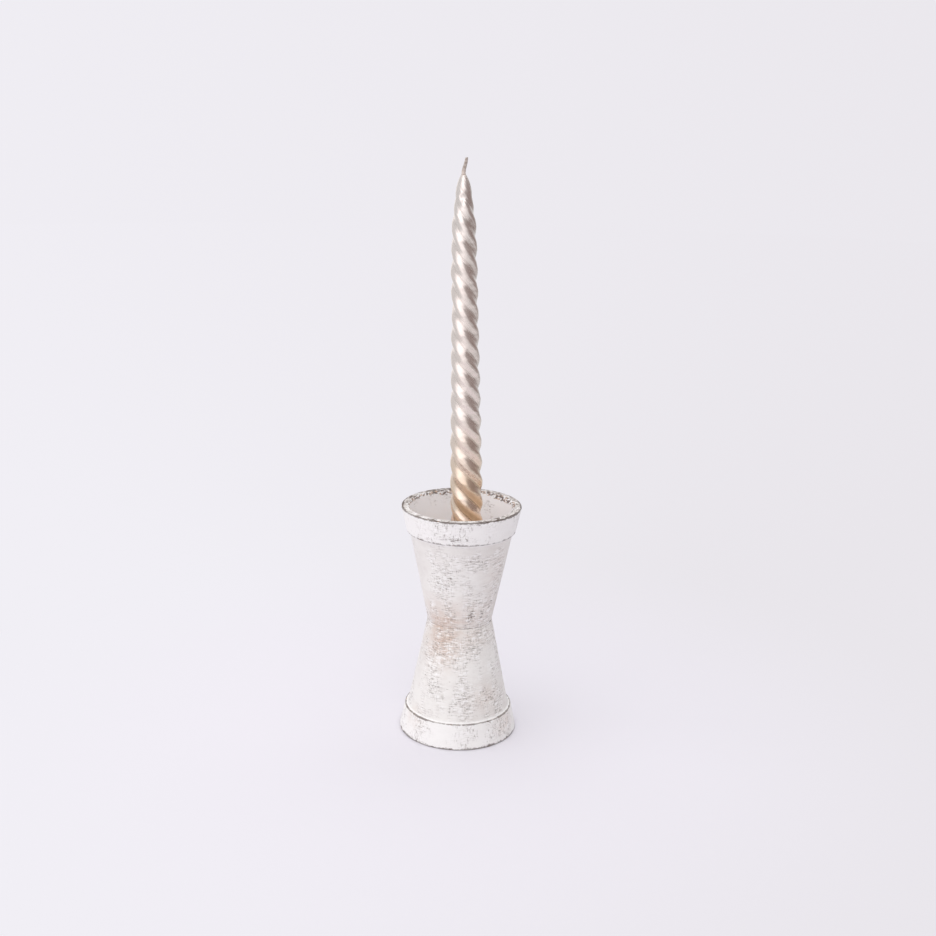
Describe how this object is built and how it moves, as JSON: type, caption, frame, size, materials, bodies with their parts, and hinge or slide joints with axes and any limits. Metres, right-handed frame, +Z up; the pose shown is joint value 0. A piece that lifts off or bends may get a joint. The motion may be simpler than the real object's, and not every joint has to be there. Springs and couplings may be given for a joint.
{
  "type": "candlestick",
  "caption": "Hourglass candlestick made of terracotta flower pots bonded foot to foot, chalk painted and rubbed back, holding a twisted gold taper candle in a bed of wax.",
  "frame": {"origin": "on the table, at the centre of the lower pot's mouth", "axes": "+Z up along the axis of the pots; +X towards the wall that the candle's foot stands near; -Y towards the picture's viewer"},
  "size_m": [0.0846, 0.0846, 0.4096],
  "materials": {
    "painted_terracotta": "matt chalk paint, brushed and rubbed back to the clay along the edges",
    "adhesive": "set adhesive, satin",
    "beech": "bare turned dowel",
    "bare_wax": "set wax, waxy satin",
    "gold_lacquer": "champagne-gold metallic lacquer over wax, satin gloss",
    "cotton": "braided cotton, waxed"
  },
  "bodies": {
    "holder": {"lower_pot": "painted_terracotta", "bond_ring": "adhesive", "centre_dowel": "beech", "upper_pot": "painted_terracotta", "wax_seat": "bare_wax"},
    "candle": {"candle_body": "gold_lacquer", "wick": "cotton"}
  },
  "joints": [
    {"name": "candle_lift", "type": "slide", "parent": "holder", "child": "candle", "axis": [-0.0279, 0, 0.9996], "range_m": [0, 0.08]}
  ]
}
